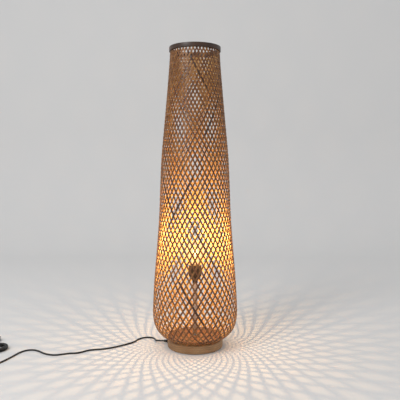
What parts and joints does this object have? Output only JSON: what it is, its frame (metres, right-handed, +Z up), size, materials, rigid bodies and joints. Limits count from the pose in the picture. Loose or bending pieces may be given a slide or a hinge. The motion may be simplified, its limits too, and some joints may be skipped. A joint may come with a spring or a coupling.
{
  "type": "floor lamp",
  "caption": "Floor lamp with a tall open woven shade that lifts off a round wooden base, a bulb on a short stem inside, and a mains cord with an inline rocker switch and a plug.",
  "frame": {"origin": "on the floor, under the middle of the round base and on the lamp's axis", "axes": "+Z up along the lamp's axis, -Y towards the viewer of the picture, +X to that viewer's right; the cord leaves the base close to -X"},
  "size_m": [0.8593, 0.3445, 1],
  "materials": {
    "rattan": "satin",
    "dark_bamboo": "satin",
    "base_wood": "matte",
    "fibreboard": "matte",
    "cast_iron": "matte",
    "steel": "satin",
    "brass": "satin",
    "black_plastic": "satin",
    "rubber": "matte",
    "cord_sheath": "satin",
    "brown_insulation": "gloss",
    "blue_insulation": "gloss",
    "porcelain": "gloss",
    "glass": "gloss",
    "filament": "satin"
  },
  "bodies": {
    "stand": {"base_disc": "base_wood", "weight_plate": "cast_iron", "plate_screw_1": "steel", "plate_screw_2": "steel", "plate_screw_3": "steel", "rubber_foot_1": "rubber", "rubber_foot_2": "rubber", "rubber_foot_3": "rubber", "rubber_foot_4": "rubber", "base_cover": "fibreboard", "strain_relief": "black_plastic", "threaded_pipe": "steel", "lower_nut": "steel", "lower_washer": "steel", "upper_washer": "steel", "upper_nut": "steel", "stem_sleeve": "steel", "cord_lead_in": "cord_sheath", "wire_live": "brown_insulation", "wire_neutral": "blue_insulation", "holder_cap": "black_plastic", "holder_insert": "porcelain", "terminal_screw_1": "brass", "terminal_screw_2": "brass", "screw_shell": "brass", "centre_contact": "brass", "holder_skirt": "black_plastic", "cord_to_switch": "cord_sheath", "switch_lower_half": "black_plastic", "switch_upper_half": "black_plastic", "switch_screw_1": "steel", "switch_screw_2": "steel", "rocker_pin": "steel", "cord_to_coil": "cord_sheath", "cord_coil": "cord_sheath", "coil_tie": "black_plastic", "cord_to_plug": "cord_sheath", "plug": "black_plastic", "plug_pin_1": "steel", "plug_pin_2": "steel"},
    "shade": {"strips_wound_left": "rattan", "strips_wound_right": "rattan", "top_outer_hoop": "dark_bamboo", "top_inner_hoop": "dark_bamboo", "bottom_inner_hoop": "dark_bamboo", "bottom_ring": "rattan"},
    "bulb_carrier": {"bulb_insulator": "black_plastic", "bulb_tip_contact": "steel"},
    "bulb": {"bulb_glass": "glass", "bulb_screw_cap": "brass", "bulb_stem": "glass", "filament_frame": "steel", "filament_1": "filament", "filament_2": "filament", "filament_3": "filament", "filament_4": "filament"},
    "rocker": {"rocker": "black_plastic"}
  },
  "joints": [
    {"name": "shade_lift", "type": "slide", "parent": "stand", "child": "shade", "axis": [0, 0, 1], "range_m": [0, 0.36]},
    {"name": "bulb_rise", "type": "slide", "parent": "stand", "child": "bulb_carrier", "axis": [0, 0, 1], "range_m": [0, 0.0218]},
    {"name": "bulb_turn", "type": "hinge", "parent": "bulb_carrier", "child": "bulb", "pos_m": [0, 0, 0.25], "axis": [0, 0, 1], "range_deg": [0, 2160]},
    {"name": "switch_rock", "type": "hinge", "parent": "stand", "child": "rocker", "pos_m": [-0.6995, -0.105, 0.012], "axis": [1, 0, 0], "range_deg": [0, 16]}
  ],
  "couplings": [
    {"joint": "bulb_rise", "follows": "bulb_turn", "m_per_rad": 0.00057757}
  ]
}
